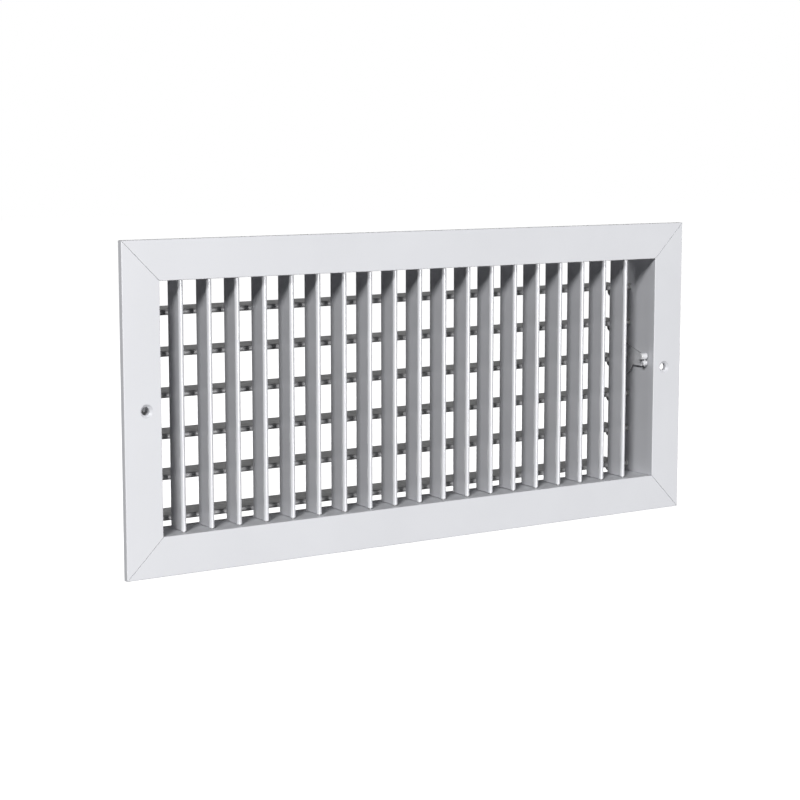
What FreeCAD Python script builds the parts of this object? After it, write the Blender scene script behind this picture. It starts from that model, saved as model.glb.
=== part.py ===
import FreeCAD, Part
import math
import os
import Sketcher
from FreeCAD import Placement, Rotation, Vector

# Supply air register: a mitred frame with a collar, a row of upright blades that turn one by one,
# and a multi-blade damper behind them, worked by one lever through a link bar.
# +X is to the right as seen from the room, +Y goes into the duct and +Z is up.
# The origin is on the wall plane, midway between the two screw holes.

doc = FreeCAD.newDocument("AirRegister")
sheet = doc.addObject("Spreadsheet::Sheet", "Sizes")


class Size:
    """A dimension: its value in millimetres or degrees, and the expression that gives it."""

    def __init__(self, value, text):
        self.value = value
        self.text = text

    def __add__(self, other):
        return Size(self.value + value_of(other), f"({self.text} + {text_of(other)})")

    def __sub__(self, other):
        return Size(self.value - value_of(other), f"({self.text} - {text_of(other)})")

    def __mul__(self, other):
        return Size(self.value * value_of(other), f"({self.text} * {text_of(other)})")

    def __truediv__(self, other):
        return Size(self.value / value_of(other), f"({self.text} / {text_of(other)})")

    def __neg__(self):
        return Size(-self.value, f"(-1 * {self.text})")


def value_of(size):
    return size.value if isinstance(size, Size) else float(size)


def text_of(size):
    return size.text if isinstance(size, Size) else repr(float(size))


NONE = Size(0.0, "0")
row_count = 0


def dimension(alias, value):
    """Write one driving dimension in the sheet and return it as a Size."""
    global row_count
    row_count += 1
    sheet.set(f"A{row_count}", alias)
    sheet.set(f"B{row_count}", str(value))
    sheet.setAlias(f"B{row_count}", alias)
    return Size(float(value), f"Sizes.{alias}")


# Driving dimensions ---------------------------------------------------------------------------
# Frame: four mitred lengths of one section, a face with a turned-back lip, and a collar.
open_width = dimension("open_width", 381.0)
open_height = dimension("open_height", 151.8)
border = dimension("border", 24.2)
frame_depth = dimension("frame_depth", 4.0)
face_thick = dimension("face_thick", 2.4)
lip_thick = dimension("lip_thick", 1.5)
collar_thick = dimension("collar_thick", 1.4)
collar_reach = dimension("collar_reach", 25.5)
mitre_gap = dimension("mitre_gap", 0.14)
inner_round = dimension("inner_round", 0.5)
outer_round = dimension("outer_round", 0.5)
rib_thick = dimension("rib_thick", 1.0)
rib_near = dimension("rib_near", 5.0)
rib_far = dimension("rib_far", 17.6)
key_slack = dimension("key_slack", 0.1)
key_arm = dimension("key_arm", 40.0)

# Screw holes for number 8 countersunk screws.
screw_offset = dimension("screw_offset", 9.7)
screw_hole = dimension("screw_hole", 5.2)
screw_sink = dimension("screw_sink", 1.55)
screw_boss = dimension("screw_boss", 3.9)

# Front blades: a round nose that holds the pivot pins, and a thin web that tapers to its tail.
blade_count = 19
blade_pitch = dimension("blade_pitch", 19.05)
blade_shift = dimension("blade_shift", -2.2)
blade_gap = dimension("blade_gap", 0.7)
nose_round = dimension("nose_round", 1.7)
nose_place = dimension("nose_place", 3.1)
web_half = dimension("web_half", 0.75)
tail_half = dimension("tail_half", 0.45)
tail_reach = dimension("tail_reach", 15.3)
pin_round = dimension("pin_round", 1.0)
pin_grip = dimension("pin_grip", 12.0)
pin_play = dimension("pin_play", 0.04)
bush_round = dimension("bush_round", 1.8)
bush_head = dimension("bush_head", 2.8)
bush_head_thick = dimension("bush_head_thick", 0.8)

# Damper blades: a round nose on the pivot line, a web that rises a little, and a turned-down tail.
damper_count = 6
damper_pitch = dimension("damper_pitch", 25.05)
damper_top = dimension("damper_top", 54.75)
damper_pivot = dimension("damper_pivot", 23.85)
damper_nose = dimension("damper_nose", 1.75)
damper_web = dimension("damper_web", 1.0)
damper_reach = dimension("damper_reach", 18.4)
damper_rise = dimension("damper_rise", 2.3)
tail_run = dimension("tail_run", 6.1)
tail_drop = dimension("tail_drop", 2.75)
nose_end = dimension("nose_end", 190.0)
web_left_end = dimension("web_left_end", 187.5)
spigot_round = dimension("spigot_round", 1.0)
spigot_end = dimension("spigot_end", 193.9)

# Side stack at the right end, from the blades towards the wall.
ear_inner = dimension("ear_inner", 185.6)
ear_thick = dimension("ear_thick", 1.0)
link_inner = dimension("link_inner", 186.8)
link_thick = dimension("link_thick", 1.0)
lever_inner = dimension("lever_inner", 188.6)
lever_thick = dimension("lever_thick", 1.0)
crank_run = dimension("crank_run", 14.0)
crank_drop = dimension("crank_drop", 4.2)
ear_round = dimension("ear_round", 3.0)
ear_flare = dimension("ear_flare", 1.4)
link_half = dimension("link_half", 2.0)
link_over = dimension("link_over", 3.0)
rivet_round = dimension("rivet_round", 1.0)
rivet_play = dimension("rivet_play", 0.05)
rivet_head = dimension("rivet_head", 1.7)
rivet_head_thick = dimension("rivet_head_thick", 0.5)
lever_rivet_round = dimension("lever_rivet_round", 1.2)
lever_rivet_head = dimension("lever_rivet_head", 1.9)
lever_rivet_run = dimension("lever_rivet_run", 5.0)
lever_rivet_rise = dimension("lever_rivet_rise", 3.7)
lever_rivet_step = dimension("lever_rivet_step", 4.2)
drive_edge = dimension("drive_edge", 2.4)

# Hand lever: a round hub on the pivot line, an arm to the front and a finger tab of two beads.
hub_round = dimension("hub_round", 11.9)
hub_run = dimension("hub_run", 4.0)
hub_drop = dimension("hub_drop", 0.9)
arm_shoulder = dimension("arm_shoulder", 10.3)
arm_tip_rise = dimension("arm_tip_rise", 3.2)
arm_low = dimension("arm_low", 4.2)
tab_front = dimension("tab_front", 22.4)
upper_bead_round = dimension("upper_bead_round", 2.2)
upper_bead_rise = dimension("upper_bead_rise", 2.9)
upper_bead_width = dimension("upper_bead_width", 5.1)
lower_bead_round = dimension("lower_bead_round", 1.75)
lower_bead_rise = dimension("lower_bead_rise", -1.9)
lower_bead_width = dimension("lower_bead_width", 3.4)
bead_corner = dimension("bead_corner", 0.7)
drive_row = 3

# Side rails that carry the damper, outside the collar.
rail_thick = dimension("rail_thick", 1.2)
rail_front = dimension("rail_front", 4.4)
rail_back = dimension("rail_back", 34.0)
rail_half = dimension("rail_half", 75.4)
rail_return = dimension("rail_return", 2.0)
rail_corner = dimension("rail_corner", 3.0)
notch_half = dimension("notch_half", 2.3)
damper_bush_round = dimension("damper_bush_round", 2.15)
damper_bush_neck = dimension("damper_bush_neck", 1.55)
rail_rivet_line = dimension("rail_rivet_line", 12.4)
rail_rivet_span = dimension("rail_rivet_span", 56.0)
rail_rivet_round = dimension("rail_rivet_round", 1.6)
rail_rivet_sink = dimension("rail_rivet_sink", 0.7)
rail_rivet_head = dimension("rail_rivet_head", 2.8)

doc.recompute()

# Sizes worked out from them ---------------------------------------------------------------------
half_width = open_width / 2
half_height = open_height / 2
face_back = face_thick - frame_depth
tail_slant = Size(
    math.hypot(tail_run.value, tail_drop.value), f"sqrt({tail_run.text} ^ 2 + {tail_drop.text} ^ 2)")
lever_rivets = (
    (lever_rivet_run, lever_rivet_rise),
    (lever_rivet_run + lever_rivet_step, lever_rivet_rise),
)
key_near = rib_near + rib_thick + key_slack
key_far = rib_far - key_slack
key_back = -key_slack
blade_half = half_height - blade_gap
rail_inner = half_width + collar_thick
rail_outer = rail_inner + rail_thick
ear_outer = ear_inner + ear_thick
link_outer = link_inner + link_thick
lever_outer = lever_inner + lever_thick


def row_height(number):
    """Height of a damper blade's pivot line, counted from 1 at the top."""
    return damper_top - damper_pitch * (number - 1)


def blade_place(number):
    """X of a front blade's pivot line, counted from 1 at the left."""
    return blade_pitch * number - half_width + blade_shift


def web_middle(run):
    """Height of the middle of a damper blade's web, that run behind its pivot line."""
    return (damper_rise - damper_web / 2) * run / damper_reach


# Helpers ------------------------------------------------------------------------------------------
parts = []


def new_body(label):
    body = doc.addObject("PartDesign::Body", label)
    body.Label = label
    parts.append(body)
    return body


def new_sketch(body, role, name, offset=None):
    """A sketch on one of the body's own origin planes, moved along its normal by offset."""
    sketch = body.newObject("Sketcher::SketchObject", name)
    plane = next(item for item in body.Origin.OriginFeatures if item.Role == role)
    sketch.AttachmentSupport = [(plane, "")]
    sketch.MapMode = "FlatFace"
    if offset is not None:
        sketch.setExpression(".AttachmentOffset.Base.z", offset.text)
    return sketch


def hold(sketch, kind, *target, size):
    """Add a constraint and bind it to a size."""
    index = sketch.addConstraint(Sketcher.Constraint(kind, *target, value_of(size)))
    sketch.setExpression(f"Constraints[{index}]", text_of(size))


def hold_point(sketch, curve, end, x, y):
    """Fix one point of a curve (1 start, 2 end, 3 centre) by its distances from the origin."""
    hold(sketch, "DistanceX", -1, 1, curve, end, size=x)
    hold(sketch, "DistanceY", -1, 1, curve, end, size=y)


def draw_circle(sketch, x, y, radius):
    centre = Vector(value_of(x), value_of(y), 0)
    curve = sketch.addGeometry(Part.Circle(centre, Vector(0, 0, 1), value_of(radius)))
    hold_point(sketch, curve, 3, x, y)
    hold(sketch, "Radius", curve, size=radius)


def draw_outline(sketch, steps):
    """Closed outline. A step is a corner (x, y), reached by a line, or (x, y, centre x,
    centre y, turn), reached by an arc that turns left (1) or right (-1)."""
    first = len(sketch.Geometry)
    starts = []
    for index, step in enumerate(steps):
        before = steps[index - 1]
        x0, y0 = value_of(before[0]), value_of(before[1])
        x1, y1 = value_of(step[0]), value_of(step[1])
        if len(step) == 2:
            sketch.addGeometry(Part.LineSegment(Vector(x0, y0, 0), Vector(x1, y1, 0)))
            starts.append((1, 2))
            continue
        cx, cy, turn = value_of(step[2]), value_of(step[3]), step[4]
        from_angle = math.atan2(y0 - cy, x0 - cx)
        to_angle = math.atan2(y1 - cy, x1 - cx)
        if turn < 0:
            from_angle, to_angle = to_angle, from_angle
        if to_angle <= from_angle:
            to_angle += 2 * math.pi
        circle = Part.Circle(Vector(cx, cy, 0), Vector(0, 0, 1), math.hypot(x0 - cx, y0 - cy))
        sketch.addGeometry(Part.ArcOfCircle(circle, from_angle, to_angle))
        starts.append((1, 2) if turn > 0 else (2, 1))
    for index, step in enumerate(steps):
        curve = first + index
        following = (index + 1) % len(steps)
        end = starts[index][1]
        sketch.addConstraint(
            Sketcher.Constraint("Coincident", curve, end, first + following, starts[following][0]))
        hold_point(sketch, curve, end, step[0], step[1])
        if len(step) > 2:
            before = steps[index - 1]
            across = abs(value_of(step[0]) - value_of(before[0]))
            along = abs(value_of(step[1]) - value_of(before[1]))
            if across >= along:
                hold(sketch, "DistanceY", -1, 1, curve, 3, size=step[3])
            else:
                hold(sketch, "DistanceX", -1, 1, curve, 3, size=step[2])


def draw_box(sketch, x0, x1, y0, y1):
    draw_outline(sketch, [(x0, y0), (x1, y0), (x1, y1), (x0, y1)])


def pad(body, sketch, length, name, side="One side", backwards=False):
    feature = body.newObject("PartDesign::Pad", name)
    feature.Profile = sketch
    feature.SideType = side
    feature.Reversed = backwards
    feature.setExpression("Length", text_of(length))
    doc.recompute()
    return feature


def cut(body, sketch, name, length=None, side="Symmetric", backwards=False):
    """A pocket, right through when it has no length. It has to take material away."""
    before = body.Shape.Volume
    feature = body.newObject("PartDesign::Pocket", name)
    feature.Profile = sketch
    feature.SideType = side
    feature.Reversed = backwards
    if length is None:
        feature.Type = "ThroughAll"
    else:
        feature.setExpression("Length", text_of(length))
    doc.recompute()
    if body.Shape.Volume > before - 1e-3:
        raise ValueError(f"{body.Label}: {name} cuts nothing")
    return feature


def soften(body, kind, edges, size, name):
    """A fillet or chamfer on the named edges of the body's last feature."""
    feature = body.newObject(f"PartDesign::{kind}", name)
    feature.Base = (body.Tip if body.Tip is not feature else feature.BaseFeature, edges)
    feature.setExpression("Radius" if kind == "Fillet" else "Size", text_of(size))
    doc.recompute()
    body.Tip = feature
    return feature


def edges_where(body, test):
    """Names of the edges of the body's shape whose bounding box passes the test."""
    names = []
    for index, edge in enumerate(body.Shape.Edges):
        if test(edge, edge.BoundBox):
            names.append(f"Edge{index + 1}")
    return names


def near(first, second):
    """True when a measured value agrees with a size."""
    return abs(first - value_of(second)) < 0.02


def add_solids(label, solids):
    """A group of separate solids of one kind, in one sub-part."""
    feature = doc.addObject("Part::Feature", label)
    feature.Label = label
    feature.Shape = Part.makeCompound(solids)
    parts.append(feature)
    return feature


def rod(radius, start, end, axis):
    """A plain cylinder along an axis between two heights on it, centred on the axis."""
    length = value_of(end) - value_of(start)
    return Part.makeCylinder(value_of(radius), length, axis * value_of(start), axis)


AXIS_X = Vector(1, 0, 0)
AXIS_Z = Vector(0, 0, 1)


# Frame --------------------------------------------------------------------------------------------
def frame_member(label, inner_half):
    """One mitred length of the frame section: its own X runs along it, Z points outwards."""
    body = new_body(label)
    face = new_sketch(body, "YZ_Plane", f"{label}_section")
    draw_outline(face, [
        (-frame_depth, NONE),
        (collar_reach, NONE),
        (collar_reach, collar_thick),
        (face_back, collar_thick),
        (face_back, rib_near),
        (-key_slack, rib_near),
        (-key_slack, rib_near + rib_thick),
        (face_back, rib_near + rib_thick),
        (face_back, rib_far),
        (-key_slack, rib_far),
        (-key_slack, rib_far + rib_thick),
        (face_back, rib_far + rib_thick),
        (face_back, border - lip_thick),
        (NONE, border - lip_thick),
        (NONE, border),
        (-frame_depth, border),
    ])
    pad(body, face, (inner_half + border) * 2, f"{label}_length", "Symmetric")
    front_edge = edges_where(body, lambda edge, box: (
        near(box.YMin, -frame_depth) and near(box.YMax, -frame_depth)
        and near(box.ZMin, NONE) and near(box.ZMax, NONE)))
    soften(body, "Fillet", front_edge, inner_round, f"{label}_inner_round")
    back_edge = edges_where(body, lambda edge, box: (
        near(box.YMin, -frame_depth) and near(box.YMax, -frame_depth)
        and near(box.ZMin, border) and near(box.ZMax, border)))
    soften(body, "Fillet", back_edge, outer_round, f"{label}_outer_round")
    mitre = new_sketch(body, "XZ_Plane", f"{label}_mitre_lines")
    near_end = inner_half - mitre_gap - 1
    far_end = inner_half - mitre_gap + border + 1
    past_end = inner_half + border + 5
    for side in (1, -1):
        draw_outline(mitre, [
            (near_end * side, Size(-1.0, "-1")),
            (past_end * side, Size(-1.0, "-1")),
            (past_end * side, border + 1),
            (far_end * side, border + 1),
        ])
    cut(body, mitre, f"{label}_mitres")
    return body


def blade_holes(body, turn):
    """Bushing holes for the front blades through a collar: turn is -1 where X runs backwards."""
    sketch = new_sketch(body, "XY_Plane", f"{body.Label}_bushing_centres")
    for number in range(1, blade_count + 1):
        draw_circle(sketch, blade_place(number) * turn, nose_place, bush_round)
    cut(body, sketch, f"{body.Label}_bushing_holes", collar_thick * 2)


def side_details(body, turn):
    """Notches for the damper pivots, the rivet holes, and the screw hole in its boss."""
    notches = new_sketch(body, "XY_Plane", f"{body.Label}_notch_lines")
    for number in range(1, damper_count + 1):
        middle = row_height(number) * turn
        draw_box(notches, middle - notch_half, middle + notch_half,
                 damper_pivot - notch_half, collar_reach + 2)
    cut(body, notches, f"{body.Label}_notches", collar_thick * 2)

    rivets = new_sketch(body, "XY_Plane", f"{body.Label}_rivet_centres")
    for step in (-1, 0, 1):
        draw_circle(rivets, rail_rivet_span * step, rail_rivet_line, rail_rivet_round)
    cut(body, rivets, f"{body.Label}_rivet_holes", collar_thick * 2)
    mouths = edges_where(body, lambda edge, box: (
        near(box.ZMin, NONE) and near(box.ZMax, NONE) and edge.Closed
        and near(box.YLength, rail_rivet_round * 2)))
    soften(body, "Chamfer", mouths, rail_rivet_sink, f"{body.Label}_rivet_sinks")

    boss = new_sketch(body, "XZ_Plane", f"{body.Label}_boss_centre")
    draw_circle(boss, NONE, screw_offset, screw_boss)
    pad(body, boss, frame_depth - face_thick / 2, f"{body.Label}_boss")
    screw = new_sketch(body, "XZ_Plane", f"{body.Label}_screw_centre")
    draw_circle(screw, NONE, screw_offset, screw_hole / 2)
    cut(body, screw, f"{body.Label}_screw_hole", frame_depth * 4)
    mouth = edges_where(body, lambda edge, box: (
        near(box.YMin, -frame_depth) and near(box.YMax, -frame_depth) and edge.Closed
        and near(box.XLength, screw_hole)))
    soften(body, "Chamfer", mouth, screw_sink, f"{body.Label}_screw_sink")


def make_frame():
    upright = Vector(0, 1, 0)
    top = frame_member("frame_top", half_width)
    blade_holes(top, 1)
    top.Placement = Placement(Vector(0, 0, half_height.value), Rotation())
    bottom = frame_member("frame_bottom", half_width)
    blade_holes(bottom, -1)
    bottom.Placement = Placement(Vector(0, 0, -half_height.value), Rotation(upright, 180))
    left = frame_member("frame_left", half_height)
    side_details(left, 1)
    left.Placement = Placement(Vector(-half_width.value, 0, 0), Rotation(upright, -90))
    right = frame_member("frame_right", half_height)
    side_details(right, -1)
    right.Placement = Placement(Vector(half_width.value, 0, 0), Rotation(upright, 90))


def make_corner_keys():
    """Flat angle keys that lie in the keyway behind the face and hold the mitres."""
    low, high = key_near.value, key_far.value
    arm = high - key_arm.value
    outline = [(high, high), (arm, high), (arm, low), (low, low), (low, arm), (high, arm)]
    keys = []
    for side in (1, -1):
        for up in (1, -1):
            corners = [
                Vector(side * (half_width.value + x), face_back.value, up * (half_height.value + z))
                for x, z in outline]
            face = Part.Face(Part.makePolygon(corners + corners[:1]))
            keys.append(face.extrude(Vector(0, key_back.value - face_back.value, 0)))
    add_solids("corner_keys", keys)


# Front blades ---------------------------------------------------------------------------------------
def nose_meet(radius, half):
    """How far behind the centre a round nose meets a web of that half thickness."""
    depth = math.sqrt(radius.value ** 2 - half.value ** 2)
    return Size(depth, f"sqrt({radius.text} ^ 2 - {half.text} ^ 2)")


def front_blade(number):
    label = f"front_blade_{number:02d}"
    body = new_body(label)
    section = new_sketch(body, "XY_Plane", f"{label}_section")
    meet = nose_meet(nose_round, web_half)
    tail_centre = tail_reach - tail_half
    draw_outline(section, [
        (-web_half, meet),
        (web_half, meet, NONE, NONE, 1),
        (tail_half, tail_centre),
        (-tail_half, tail_centre, NONE, tail_centre, 1),
    ])
    pad(body, section, blade_half * 2, f"{label}_length", "Symmetric")
    bore = new_sketch(body, "XY_Plane", f"{label}_bore_centre")
    draw_circle(bore, NONE, NONE, pin_round)
    cut(body, bore, f"{label}_bore")
    body.Placement = Placement(
        Vector(blade_place(number).value, nose_place.value, 0), Rotation())


def front_blade_pins(number):
    """Two steel pins, pressed into the ends of a blade's nose."""
    inner = blade_half - pin_grip
    outer = half_height + collar_thick + bush_head_thick + 0.3
    pins = []
    for side in (AXIS_Z, -AXIS_Z):
        pin = rod(pin_round, inner, outer, side)
        tip = [edge for edge in pin.Edges if edge.Closed
               and near(abs(edge.BoundBox.Center.z), outer)]
        pins.append(pin.makeChamfer(0.3, tip))
    group = add_solids(f"front_blade_pins_{number:02d}", pins)
    group.Placement = Placement(
        Vector(blade_place(number).value, nose_place.value, 0), Rotation())


def make_pivot_bushings():
    """Nylon bushings for the front blades' pins: a sleeve in the collar, with a head outside."""
    bushings = []
    inner = half_height
    outer = half_height + collar_thick
    for number in range(1, blade_count + 1):
        centre = Vector(blade_place(number).value, nose_place.value, 0)
        for side in (AXIS_Z, -AXIS_Z):
            sleeve = rod(bush_round, inner, outer, side)
            head = rod(bush_head, outer, outer + bush_head_thick, side)
            bore = rod(pin_round + pin_play, inner - 1, outer + 3, side)
            bushing = sleeve.fuse(head).cut(bore).removeSplitter()
            bushing.translate(centre)
            bushings.append(bushing)
    add_solids("front_pivot_bushings", bushings)


# Damper ---------------------------------------------------------------------------------------------
def damper_rail(label, side):
    """Flat side rail against the outside of a collar, with a stiffening return at the rear."""
    body = new_body(label)
    outline = new_sketch(body, "YZ_Plane", f"{label}_outline")
    draw_box(outline, rail_front, rail_back, -rail_half, rail_half)
    pad(body, outline, rail_thick, f"{label}_web", backwards=side < 0)
    corners = edges_where(body, lambda edge, box: (
        near(box.XLength, rail_thick) and near(box.YMax, rail_front)))
    soften(body, "Fillet", corners, rail_corner, f"{label}_corners")
    strip = new_sketch(body, "YZ_Plane", f"{label}_return_lines")
    draw_box(strip, rail_back - rail_thick, rail_back, -rail_half, rail_half)
    pad(body, strip, rail_thick + rail_return, f"{label}_return", backwards=side < 0)
    holes = new_sketch(body, "YZ_Plane", f"{label}_hole_centres")
    for number in range(1, damper_count + 1):
        draw_circle(holes, damper_pivot, row_height(number), damper_bush_neck)
    for step in (-1, 0, 1):
        draw_circle(holes, rail_rivet_line, rail_rivet_span * step, rail_rivet_round)
    cut(body, holes, f"{label}_holes")
    body.Placement = Placement(Vector(side * rail_inner.value, 0, 0), Rotation())


def make_rail_rivets():
    """Flush rivets through the collar, with a formed head outside the rail."""
    rivets = []
    mouth = rail_rivet_round + rail_rivet_sink
    for side in (AXIS_X, -AXIS_X):
        for step in (-1, 0, 1):
            shank = rod(rail_rivet_round, half_width, rail_outer, side)
            flush = Part.makeCone(
                mouth.value, rail_rivet_round.value, rail_rivet_sink.value,
                side * half_width.value, side)
            formed = rod(rail_rivet_head, rail_outer, rail_outer + 1, side)
            rivet = shank.fuse([flush, formed]).removeSplitter()
            rivet.translate(Vector(0, rail_rivet_line.value, step * rail_rivet_span.value))
            rivets.append(rivet)
    add_solids("rail_rivets", rivets)


def make_damper_bushings():
    """Nylon bushings in the rails: a collar in the frame's notch, a neck and a snap head."""
    bushings = []
    inner = nose_end + 0.1
    for side in (AXIS_X, -AXIS_X):
        for number in range(1, damper_count + 1):
            collar = rod(damper_bush_round, inner, rail_inner, side)
            neck = rod(damper_bush_neck, rail_inner, rail_outer, side)
            head = rod(damper_bush_round, rail_outer, rail_outer + 0.6, side)
            bore = rod(spigot_round + pin_play, inner - 1, rail_outer + 3, side)
            bushing = collar.fuse([neck, head]).cut(bore).removeSplitter()
            bushing.translate(Vector(0, damper_pivot.value, row_height(number).value))
            bushings.append(bushing)
    add_solids("damper_pivot_bushings", bushings)


def damper_blade(number, driven):
    """One damper blade with its spigots and crank ear; the driven one also carries the lever."""
    label = f"damper_blade_{number}"
    body = new_body(label)
    section = new_sketch(body, "YZ_Plane", f"{label}_section")
    half = damper_web / 2
    meet = nose_meet(damper_nose, half)
    tip_run = damper_reach + tail_run
    tip_rise = damper_rise - tail_drop
    lean = damper_web * tail_drop / tail_slant
    thick = damper_web * tail_run / tail_slant
    draw_outline(section, [
        (meet, half, NONE, NONE, -1),
        (damper_reach, damper_rise),
        (tip_run, tip_rise),
        (tip_run - lean, tip_rise - thick),
        (damper_reach - lean / 2, damper_rise - damper_web),
        (meet, -half),
    ])
    pad(body, section, nose_end * 2, f"{label}_length", "Symmetric")
    trim = new_sketch(body, "XY_Plane", f"{label}_trim_lines")
    behind_nose = damper_nose + 0.05
    past_tail = tip_run + 5
    draw_box(trim, ear_outer, nose_end + 1, behind_nose, past_tail)
    draw_box(trim, -nose_end - 1, -web_left_end, behind_nose, past_tail)
    cut(body, trim, f"{label}_trim", damper_reach * 2)
    spigots = new_sketch(body, "YZ_Plane", f"{label}_spigot_centre")
    draw_circle(spigots, NONE, NONE, spigot_round)
    pad(body, spigots, spigot_end * 2, f"{label}_spigots", "Symmetric")

    ear = new_sketch(body, "YZ_Plane", f"{label}_ear_lines", ear_inner)
    left = crank_run - ear_round
    right = crank_run + ear_round
    draw_outline(ear, [
        (left - ear_flare, web_middle(left - ear_flare)),
        (left, -crank_drop),
        (right, -crank_drop, crank_run, -crank_drop, 1),
        (right + ear_flare, web_middle(right + ear_flare)),
    ])
    pad(body, ear, ear_thick, f"{label}_ear")
    if driven:
        drive = new_sketch(body, "YZ_Plane", f"{label}_drive_lines", ear_inner)
        front = lever_rivet_run - drive_edge
        back = lever_rivet_run + lever_rivet_step + drive_edge
        top = lever_rivet_rise + drive_edge
        draw_outline(drive, [
            (front, web_middle(front)),
            (back, web_middle(back)),
            (back, top),
            (front, top),
        ])
        pad(body, drive, ear_thick, f"{label}_drive_plate")
    holes = new_sketch(body, "YZ_Plane", f"{label}_ear_holes", ear_inner)
    draw_circle(holes, crank_run, -crank_drop, rivet_round + rivet_play)
    if driven:
        for run, rise in lever_rivets:
            draw_circle(holes, run, rise, lever_rivet_round)
    cut(body, holes, f"{label}_ear_bores", ear_thick * 2)
    body.Placement = Placement(
        Vector(0, damper_pivot.value, row_height(number).value), Rotation())


def make_link_bar():
    """Flat bar that joins the cranks of all the damper blades."""
    body = new_body("link_bar")
    outline = new_sketch(body, "YZ_Plane", "link_bar_outline", link_inner)
    low = row_height(damper_count) - crank_drop - link_over
    high = row_height(1) - crank_drop + link_over
    draw_box(outline, crank_run - link_half, crank_run + link_half, low, high)
    pad(body, outline, link_thick, "link_bar_length")
    ends = edges_where(body, lambda edge, box: (
        near(box.XLength, link_thick) and near(box.YLength, NONE) and near(box.ZLength, NONE)))
    soften(body, "Fillet", ends, link_half - 0.4, "link_bar_ends")
    holes = new_sketch(body, "YZ_Plane", "link_bar_centres", link_inner)
    for number in range(1, damper_count + 1):
        draw_circle(holes, crank_run, row_height(number) - crank_drop, rivet_round)
    cut(body, holes, "link_bar_holes", link_thick * 2)
    body.Placement = Placement(Vector(0, damper_pivot.value, 0), Rotation())


def make_link_rivets():
    """Rivets held by the link bar, each turning in one blade's ear."""
    rivets = []
    for number in range(1, damper_count + 1):
        inner = ear_inner - 0.1
        shank = rod(rivet_round, inner, link_outer, AXIS_X)
        inner_head = rod(rivet_head, inner - rivet_head_thick, inner, AXIS_X)
        outer_head = rod(rivet_head, link_outer, link_outer + rivet_head_thick, AXIS_X)
        rivet = shank.fuse([inner_head, outer_head]).removeSplitter()
        rivet.translate(Vector(
            0, damper_pivot.value + crank_run.value, row_height(number).value - crank_drop.value))
        rivets.append(rivet)
    add_solids("link_rivets", rivets)


def lever_bead(body, name, radius, rise, width):
    """One bead of the finger tab: a short rod across the arm's front end, with a softened end."""
    inner = lever_outer - width
    line = radius - tab_front
    section = new_sketch(body, "YZ_Plane", f"damper_lever_{name}_bead_centre", inner)
    draw_circle(section, line, rise, radius)
    pad(body, section, width, f"damper_lever_{name}_bead")
    rim = edges_where(body, lambda edge, box: (
        near(box.XMin, inner) and near(box.XMax, inner) and edge.Closed
        and near(box.ZMin, rise - radius)))
    soften(body, "Fillet", rim, bead_corner, f"damper_lever_{name}_bead_end")


def make_lever():
    """Hand lever: hub and arm in one flat plate beside the wall, with the tab at its front."""
    body = new_body("damper_lever")
    hub = new_sketch(body, "YZ_Plane", "damper_lever_hub_centre", lever_inner)
    draw_circle(hub, hub_run, -hub_drop, hub_round)
    pad(body, hub, lever_thick, "damper_lever_hub")
    arm = new_sketch(body, "YZ_Plane", "damper_lever_arm_lines", lever_inner)
    arm_front = upper_bead_round - tab_front
    draw_outline(arm, [
        (arm_front, -arm_low),
        (hub_run, -arm_low),
        (hub_run, hub_round - hub_drop),
        (NONE, arm_shoulder),
        (arm_front, arm_tip_rise),
    ])
    pad(body, arm, lever_thick, "damper_lever_arm")
    lever_bead(body, "upper", upper_bead_round, upper_bead_rise, upper_bead_width)
    lever_bead(body, "lower", lower_bead_round, lower_bead_rise, lower_bead_width)

    holes = new_sketch(body, "YZ_Plane", "damper_lever_centres", lever_inner)
    draw_circle(holes, NONE, NONE, damper_nose + 0.3)
    for run, rise in lever_rivets:
        draw_circle(holes, run, rise, lever_rivet_round)
    cut(body, holes, "damper_lever_holes", lever_thick * 2)
    body.Placement = Placement(
        Vector(0, damper_pivot.value, row_height(drive_row).value), Rotation())


def make_lever_rivets():
    """Two shouldered rivets that carry the lever clear of the link bar."""
    rivets = []
    for run, rise in lever_rivets:
        shank = rod(lever_rivet_round, ear_inner, lever_outer, AXIS_X)
        shoulder = rod(lever_rivet_head, ear_outer, lever_inner, AXIS_X)
        inner_head = rod(lever_rivet_head, ear_inner - 0.6, ear_inner, AXIS_X)
        outer_head = rod(lever_rivet_head, lever_outer, lever_outer + 0.4, AXIS_X)
        rivet = shank.fuse([shoulder, inner_head, outer_head]).removeSplitter()
        rivet.translate(Vector(
            0, damper_pivot.value + run.value, row_height(drive_row).value + rise.value))
        rivets.append(rivet)
    add_solids("lever_rivets", rivets)


# Build ----------------------------------------------------------------------------------------------
make_frame()
make_corner_keys()
for blade_number in range(1, blade_count + 1):
    front_blade(blade_number)
    front_blade_pins(blade_number)
make_pivot_bushings()
damper_rail("damper_rail_left", -1)
damper_rail("damper_rail_right", 1)
make_rail_rivets()
make_damper_bushings()
for damper_number in range(1, damper_count + 1):
    damper_blade(damper_number, damper_number == drive_row)
make_link_bar()
make_link_rivets()
make_lever()
make_lever_rivets()
doc.recompute()

for item in doc.Objects:
    if "Invalid" in item.State or "Error" in item.State:
        raise ValueError(f"{item.Label} has failed: {item.State}")
for part in parts:
    if part.Shape.isNull() or not part.Shape.isValid():
        raise ValueError(f"{part.Label} has no valid shape")

os.makedirs("parts", exist_ok=True)
for part in parts:
    part.Shape.exportStep(f"parts/{part.Label}.step")
    print(part.Label, len(part.Shape.Solids), round(part.Shape.Volume, 2))
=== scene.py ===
import math

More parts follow.
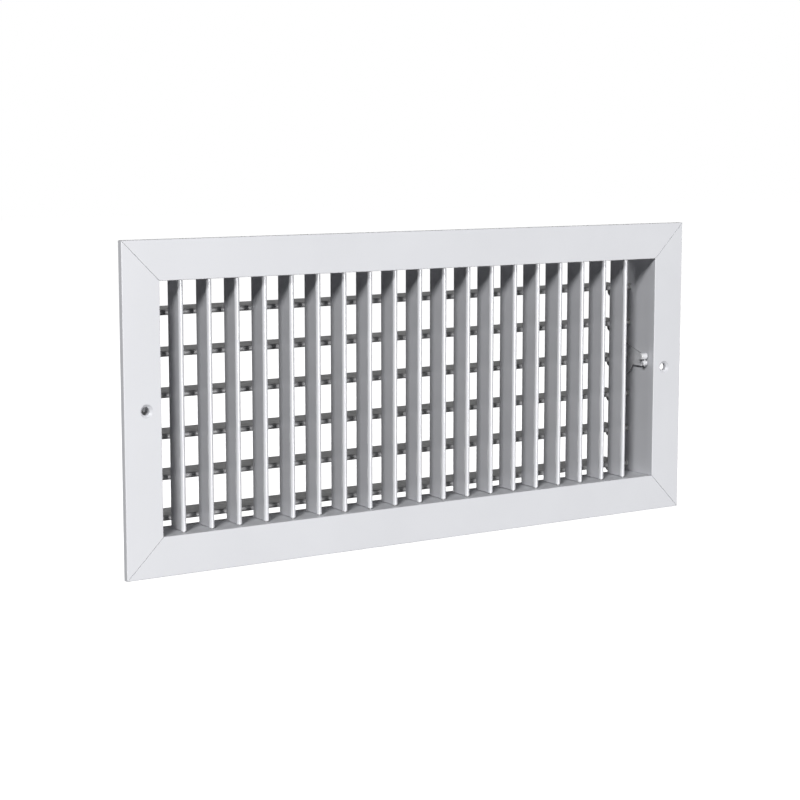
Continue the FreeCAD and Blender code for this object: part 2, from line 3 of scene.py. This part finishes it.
import bpy
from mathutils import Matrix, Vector


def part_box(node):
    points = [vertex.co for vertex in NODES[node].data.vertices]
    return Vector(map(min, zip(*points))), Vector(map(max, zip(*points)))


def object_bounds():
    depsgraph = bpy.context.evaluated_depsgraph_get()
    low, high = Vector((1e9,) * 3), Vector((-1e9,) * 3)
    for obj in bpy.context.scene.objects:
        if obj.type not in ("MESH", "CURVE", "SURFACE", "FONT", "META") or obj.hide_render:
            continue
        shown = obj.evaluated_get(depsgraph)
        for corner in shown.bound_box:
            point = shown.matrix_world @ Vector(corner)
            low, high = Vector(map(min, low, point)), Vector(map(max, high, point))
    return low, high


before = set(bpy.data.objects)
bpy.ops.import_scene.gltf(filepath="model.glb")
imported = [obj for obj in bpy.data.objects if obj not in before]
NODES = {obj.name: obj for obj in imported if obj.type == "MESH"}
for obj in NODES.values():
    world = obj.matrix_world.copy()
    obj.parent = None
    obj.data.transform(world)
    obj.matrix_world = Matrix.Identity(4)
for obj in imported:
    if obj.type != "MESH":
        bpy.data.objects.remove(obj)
cad_low, cad_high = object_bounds()

# View of the register from its left, a little above, as a long lens sees it.
CAMERA_LEFT = 0.7069
CAMERA_AHEAD = 1.0186
CAMERA_UP = 0.1587
VIEW_TURN = math.radians(33.92)
VIEW_DIP = math.radians(7.67)
LENS = 87.74
SENSOR = 36.0
NEAREST_SEEN = 0.05
FARTHEST_SEEN = 60.0

# Light, in a dim even room: a broad key from above and to the left, a lamp straight ahead, a side
# light that grazes the wall plane, a weak wide fill from above and behind, and a rear lamp that
# shows the back. Each has the way towards it, its distance, size and power.
LAMPS = {
    "key": (Vector((-1.2, -1.0, 1.04)), 7.0, 1.9, 285.0),
    "front": (Vector((0.08, -1.0, -0.04)), 7.0, 1.2, 362.0),
    "side": (Vector((-1.0, 0.03, 0.10)), 3.0, 0.3, 20.0),
    "fill": (Vector((0.62, 1.0, 0.70)), 4.0, 3.0, 11.0),
    "rear": (Vector((0.06, 1.0, -0.35)), 4.0, 1.6, 45.0),
}
LAMP_COLOUR = (1.0, 1.0, 1.0)
ROOM_LIGHT = 0.005
FLOOR_DROP = 0.32
FLOOR_HALF_SIZE = 12.0
FLOOR_COLOUR = (0.9, 0.9, 0.9, 1.0)
FLOOR_GLOW = 1.0

# Colours of the finishes.
WHITE = (0.715, 0.722, 0.752)
LEVER_WHITE = (0.72, 0.725, 0.745)
# Painted shade: the dark colour laid on the lever plate's edge faces.
EDGE_SHADE_COLOUR = (0.10, 0.10, 0.105)
STEEL_TINT = (0.44, 0.44, 0.445)
STEEL_DULL = (0.28, 0.28, 0.285)
ZINC_BRIGHT = (0.60, 0.60, 0.61)
ZINC_DULL = (0.44, 0.45, 0.47)
NYLON_PALE = (0.80, 0.80, 0.78)
NYLON_DEEP = (0.72, 0.72, 0.70)

# Grain of the finishes, as noise cells per metre.
PAINT_CLOUDS = 14.0
PAINT_SPECKS = 900.0
PAINT_GLOSS = 120.0
ORANGE_PEEL = 620.0
DRAW_LINES = 1500.0
STEEL_SPANGLE = 260.0
STEEL_GLOSS = 90.0
ROLLING_LINES = 1800.0
ZINC_PATCHES = 450.0
ZINC_GLOSS = 900.0
ZINC_GRAIN = 2600.0
NYLON_MOTTLE = 300.0
NYLON_GLOSS = 700.0
NYLON_GRAIN = 3000.0

# The lever's plate gets painted shade on its edge faces: a dark colour for the shade in the narrow
# gap between lever and wall, while its faces and tab keep the paint colour. These reach just past the
# plate, from its outer face, and just past the tab, from its front.
PLATE_REACH = 0.0011
TAB_REACH = 0.0047
lever_low, lever_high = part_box("damper_lever")
EDGE_SHADE_START = lever_high[0] - PLATE_REACH
TAB_BACK = lever_low[1] + TAB_REACH


# Material building ---------------------------------------------------------------------------------
def new_material(name):
    material = bpy.data.materials.new(name)
    material.use_nodes = True
    material.node_tree.nodes.clear()
    return material, material.node_tree


def node(tree, kind, **inputs):
    """A shader node with its inputs set: a socket is linked, anything else is a value."""
    item = tree.nodes.new(kind)
    for key, value in inputs.items():
        socket = item.inputs[key.replace("_", " ")]
        if isinstance(value, bpy.types.NodeSocket):
            tree.links.new(value, socket)
        else:
            socket.default_value = value
    return item


def place_map(tree, stretch=(1.0, 1.0, 1.0)):
    """Object coordinates in metres, squeezed along the way the metal was drawn."""
    coords = tree.nodes.new("ShaderNodeTexCoord")
    mapping = node(tree, "ShaderNodeMapping", Scale=stretch)
    tree.links.new(coords.outputs["Object"], mapping.inputs["Vector"])
    return mapping.outputs["Vector"]


def noise(tree, where, scale, detail=2.0, rough=0.5):
    item = node(tree, "ShaderNodeTexNoise", Vector=where, Scale=scale, Detail=detail, Roughness=rough)
    return item.outputs["Fac"]


def spread(tree, value, low, high):
    """Map a noise value, which stays near its middle, to a range."""
    item = node(tree, "ShaderNodeMapRange", Value=value)
    item.inputs["From Min"].default_value = 0.3
    item.inputs["From Max"].default_value = 0.7
    item.inputs["To Min"].default_value = low
    item.inputs["To Max"].default_value = high
    return item.outputs["Result"]


def blend_colour(tree, share, first, second):
    item = tree.nodes.new("ShaderNodeMix")
    item.data_type = "RGBA"
    tree.links.new(share, item.inputs["Factor"])
    for key, value in (("A", first), ("B", second)):
        socket = next(s for s in item.inputs if s.name == key and s.type == "RGBA")
        if isinstance(value, bpy.types.NodeSocket):
            tree.links.new(value, socket)
        else:
            socket.default_value = (*value, 1.0)
    return next(s for s in item.outputs if s.type == "RGBA")


def bump(tree, height, distance, strength=1.0, under=None):
    item = node(tree, "ShaderNodeBump", Height=height, Distance=distance, Strength=strength)
    if under is not None:
        tree.links.new(under, item.inputs["Normal"])
    return item.outputs["Normal"]


def finish_material(tree, colour, rough, normal, **settings):
    shader = node(tree, "ShaderNodeBsdfPrincipled", Base_Color=colour, Roughness=rough, Normal=normal)
    for key, value in settings.items():
        shader.inputs[key.replace("_", " ")].default_value = value
    output = tree.nodes.new("ShaderNodeOutputMaterial")
    tree.links.new(shader.outputs["BSDF"], output.inputs["Surface"])


ALONG_X = (0.03, 1.0, 1.0)
ALONG_Z = (1.0, 1.0, 0.03)


def enamel(name, colour, drawn, dust=0.03, rough=(0.38, 0.50), coat=0.08, shade_edges_from=None):
    """Satin powder coat over drawn metal: orange peel, faint draw lines and a little dust.
    The last argument, when given, is the place in X beyond which edge faces get painted shade, a dark
    colour for the shade along the lever's edges."""
    material, tree = new_material(name)
    where = place_map(tree)
    lines = place_map(tree, drawn)
    shade = tuple(c * (1.0 - dust) for c in colour)
    clean = tuple(min(1.0, c * (1.0 + dust * 0.4)) for c in colour)
    cloud = spread(tree, noise(tree, where, PAINT_CLOUDS, 3.0), 0.0, 1.0)
    speck = spread(tree, noise(tree, where, PAINT_SPECKS, 2.0), 0.0, 0.35)
    tone = blend_colour(tree, cloud, clean, shade)
    tone = blend_colour(tree, speck, tone, colour)
    if shade_edges_from is not None:
        # Painted shade: the lever plate's edge faces are coloured dark.
        tone = blend_colour(tree, painted_edge_shade(tree, shade_edges_from), tone, EDGE_SHADE_COLOUR)
    roughness = spread(tree, noise(tree, where, PAINT_GLOSS, 4.0, 0.6), *rough)
    peel = bump(tree, noise(tree, where, ORANGE_PEEL, 1.5), 0.00005, 0.55)
    drawn_lines = bump(tree, noise(tree, lines, DRAW_LINES, 3.0, 0.7), 0.00002, 0.5, peel)
    finish_material(tree, tone, roughness, drawn_lines, Coat_Weight=coat, Coat_Roughness=0.28)
    return material


def maths(tree, operation, first, second):
    item = tree.nodes.new("ShaderNodeMath")
    item.operation = operation
    for socket, value in zip(item.inputs, (first, second)):
        if isinstance(value, bpy.types.NodeSocket):
            tree.links.new(value, socket)
        else:
            socket.default_value = value
    return item.outputs[0]


def painted_edge_shade(tree, start):
    """Mask of painted shade: 1 on the edge faces of a plate that lies flat against X, and 0 on its
    faces and its tab.
    """
    coords = tree.nodes.new("ShaderNodeTexCoord")
    facing = tree.nodes.new("ShaderNodeSeparateXYZ")
    place = tree.nodes.new("ShaderNodeSeparateXYZ")
    tree.links.new(coords.outputs["Normal"], facing.inputs[0])
    tree.links.new(coords.outputs["Object"], place.inputs[0])
    flat = maths(tree, "ABSOLUTE", facing.outputs["X"], 0.0)
    edge_on = maths(tree, "LESS_THAN", flat, 0.5)
    on_plate = maths(tree, "GREATER_THAN", place.outputs["X"], start)
    behind_tab = maths(tree, "GREATER_THAN", place.outputs["Y"], TAB_BACK)
    return maths(tree, "MULTIPLY", maths(tree, "MULTIPLY", edge_on, on_plate), behind_tab)


def bare_steel(name, tint, dull, rough=(0.30, 0.46)):
    """Galvanised strip steel: faint spangle, rolling lines along X and dull patches."""
    material, tree = new_material(name)
    where = place_map(tree)
    lines = place_map(tree, ALONG_X)
    spangle = spread(tree, noise(tree, where, STEEL_SPANGLE, 3.0), 0.0, 1.0)
    tone = blend_colour(tree, spangle, tint, dull)
    roughness = spread(tree, noise(tree, where, STEEL_GLOSS, 4.0, 0.6), *rough)
    rolled = bump(tree, noise(tree, lines, ROLLING_LINES, 3.0, 0.7), 0.00002, 0.6)
    finish_material(tree, tone, roughness, rolled, Metallic=0.45)
    return material


def zinc_steel(name):
    """Zinc plate: fine grain, dulled in patches."""
    material, tree = new_material(name)
    where = place_map(tree)
    patch = spread(tree, noise(tree, where, ZINC_PATCHES, 4.0), 0.0, 1.0)
    tone = blend_colour(tree, patch, ZINC_BRIGHT, ZINC_DULL)
    roughness = spread(tree, noise(tree, where, ZINC_GLOSS, 3.0), 0.42, 0.60)
    normal = bump(tree, noise(tree, where, ZINC_GRAIN, 3.0), 0.00003, 0.6)
    finish_material(tree, tone, roughness, normal, Metallic=1.0)
    return material


def nylon(name):
    """Natural nylon: milky, slightly mottled, with a fine moulded grain."""
    material, tree = new_material(name)
    where = place_map(tree)
    mottle = spread(tree, noise(tree, where, NYLON_MOTTLE, 3.0), 0.0, 1.0)
    tone = blend_colour(tree, mottle, NYLON_PALE, NYLON_DEEP)
    roughness = spread(tree, noise(tree, where, NYLON_GLOSS, 2.0), 0.40, 0.58)
    normal = bump(tree, noise(tree, where, NYLON_GRAIN, 2.0), 0.00003, 0.5)
    finish_material(tree, tone, roughness, normal, Subsurface_Weight=0.08)
    return material


level_enamel = enamel("enamel_level", WHITE, ALONG_X)
upright_enamel = enamel("enamel_upright", WHITE, ALONG_Z)
blade_enamel = enamel("enamel_blade", WHITE, ALONG_Z, dust=0.05, rough=(0.28, 0.38), coat=0.9)
damper_steel = bare_steel("damper_steel", STEEL_TINT, STEEL_DULL)
# The lever's plate edges get painted shade.
lever_enamel = enamel("enamel_lever", LEVER_WHITE, ALONG_X, dust=0.06,
                      rough=(0.22, 0.32), coat=1.0, shade_edges_from=EDGE_SHADE_START)
steel = zinc_steel("zinc_steel")
bush_nylon = nylon("nylon")


def finish_for(name):
    """The material of each CAD piece, by its name."""
    if name in ("frame_top", "frame_bottom"):
        return level_enamel
    if name in ("frame_left", "frame_right", "rail_rivets"):
        return upright_enamel
    if "pins" in name or name in ("corner_keys", "link_rivets", "lever_rivets"):
        return steel
    if name.startswith("front_blade"):
        return blade_enamel
    if "bushings" in name:
        return bush_nylon
    if name == "damper_lever":
        return lever_enamel
    return damper_steel


for name, piece in NODES.items():
    piece.data.materials.clear()
    piece.data.materials.append(finish_for(name))


# Stage ----------------------------------------------------------------------------------------------
def glowing_white():
    """Pale floor, with a glow that hides where it ends."""
    material, tree = new_material("floor_white")
    shader = node(tree, "ShaderNodeBsdfPrincipled", Base_Color=FLOOR_COLOUR, Roughness=0.9,
                  Emission_Color=(1.0, 1.0, 1.0, 1.0), Emission_Strength=FLOOR_GLOW)
    output = tree.nodes.new("ShaderNodeOutputMaterial")
    tree.links.new(shader.outputs["BSDF"], output.inputs["Surface"])
    return material


def make_floor(level):
    """A floor that is seen but lights, reflects and shades nothing."""
    mesh = bpy.data.meshes.new("floor")
    sides = ((-1, -1), (1, -1), (1, 1), (-1, 1))
    corners = [(x * FLOOR_HALF_SIZE, y * FLOOR_HALF_SIZE, level) for x, y in sides]
    mesh.from_pydata(corners, [], [(0, 1, 2, 3)])
    floor = bpy.data.objects.new("floor", mesh)
    bpy.context.collection.objects.link(floor)
    floor.data.materials.append(glowing_white())
    floor.visible_diffuse = False
    floor.visible_glossy = False
    floor.visible_shadow = False


def make_room():
    """An even room: pale to look at, and dimmer as a light, so that recesses stay dark."""
    world = bpy.data.worlds.new("room")
    bpy.context.scene.world = world
    world.use_nodes = True
    tree = world.node_tree
    tree.nodes.clear()
    path = tree.nodes.new("ShaderNodeLightPath")
    seen = node(tree, "ShaderNodeBackground", Color=(1.0, 1.0, 1.0, 1.0), Strength=1.0)
    light = node(tree, "ShaderNodeBackground", Color=(0.97, 0.98, 1.0, 1.0), Strength=ROOM_LIGHT)
    mix = tree.nodes.new("ShaderNodeMixShader")
    output = tree.nodes.new("ShaderNodeOutputWorld")
    tree.links.new(path.outputs["Is Camera Ray"], mix.inputs[0])
    tree.links.new(light.outputs[0], mix.inputs[1])
    tree.links.new(seen.outputs[0], mix.inputs[2])
    tree.links.new(mix.outputs[0], output.inputs["Surface"])


def make_lamp(name, towards, distance, size, power):
    """A round lamp that faces the register."""
    lamp = bpy.data.lights.new(name, "AREA")
    lamp.shape = "DISK"
    lamp.size = size
    lamp.energy = power
    lamp.color = LAMP_COLOUR
    item = bpy.data.objects.new(name, lamp)
    item.location = towards.normalized() * distance
    item.rotation_euler = towards.to_track_quat("Z", "Y").to_euler()
    bpy.context.collection.objects.link(item)


def make_camera():
    data = bpy.data.cameras.new("camera")
    data.lens = LENS
    data.sensor_width = SENSOR
    data.clip_start = NEAREST_SEEN
    data.clip_end = FARTHEST_SEEN
    camera = bpy.data.objects.new("camera", data)
    middle = (cad_low[0] + cad_high[0]) / 2
    level = (cad_low[2] + cad_high[2]) / 2
    camera.location = (middle - CAMERA_LEFT, cad_low[1] - CAMERA_AHEAD, level + CAMERA_UP)
    camera.rotation_euler = (math.pi / 2 - VIEW_DIP, 0.0, -VIEW_TURN)
    bpy.context.collection.objects.link(camera)
    bpy.context.scene.camera = camera


make_floor(cad_low[2] - FLOOR_DROP)
make_room()
for lamp_name, lamp_place in LAMPS.items():
    make_lamp(lamp_name, *lamp_place)
make_camera()
bpy.context.scene.view_settings.view_transform = "Standard"
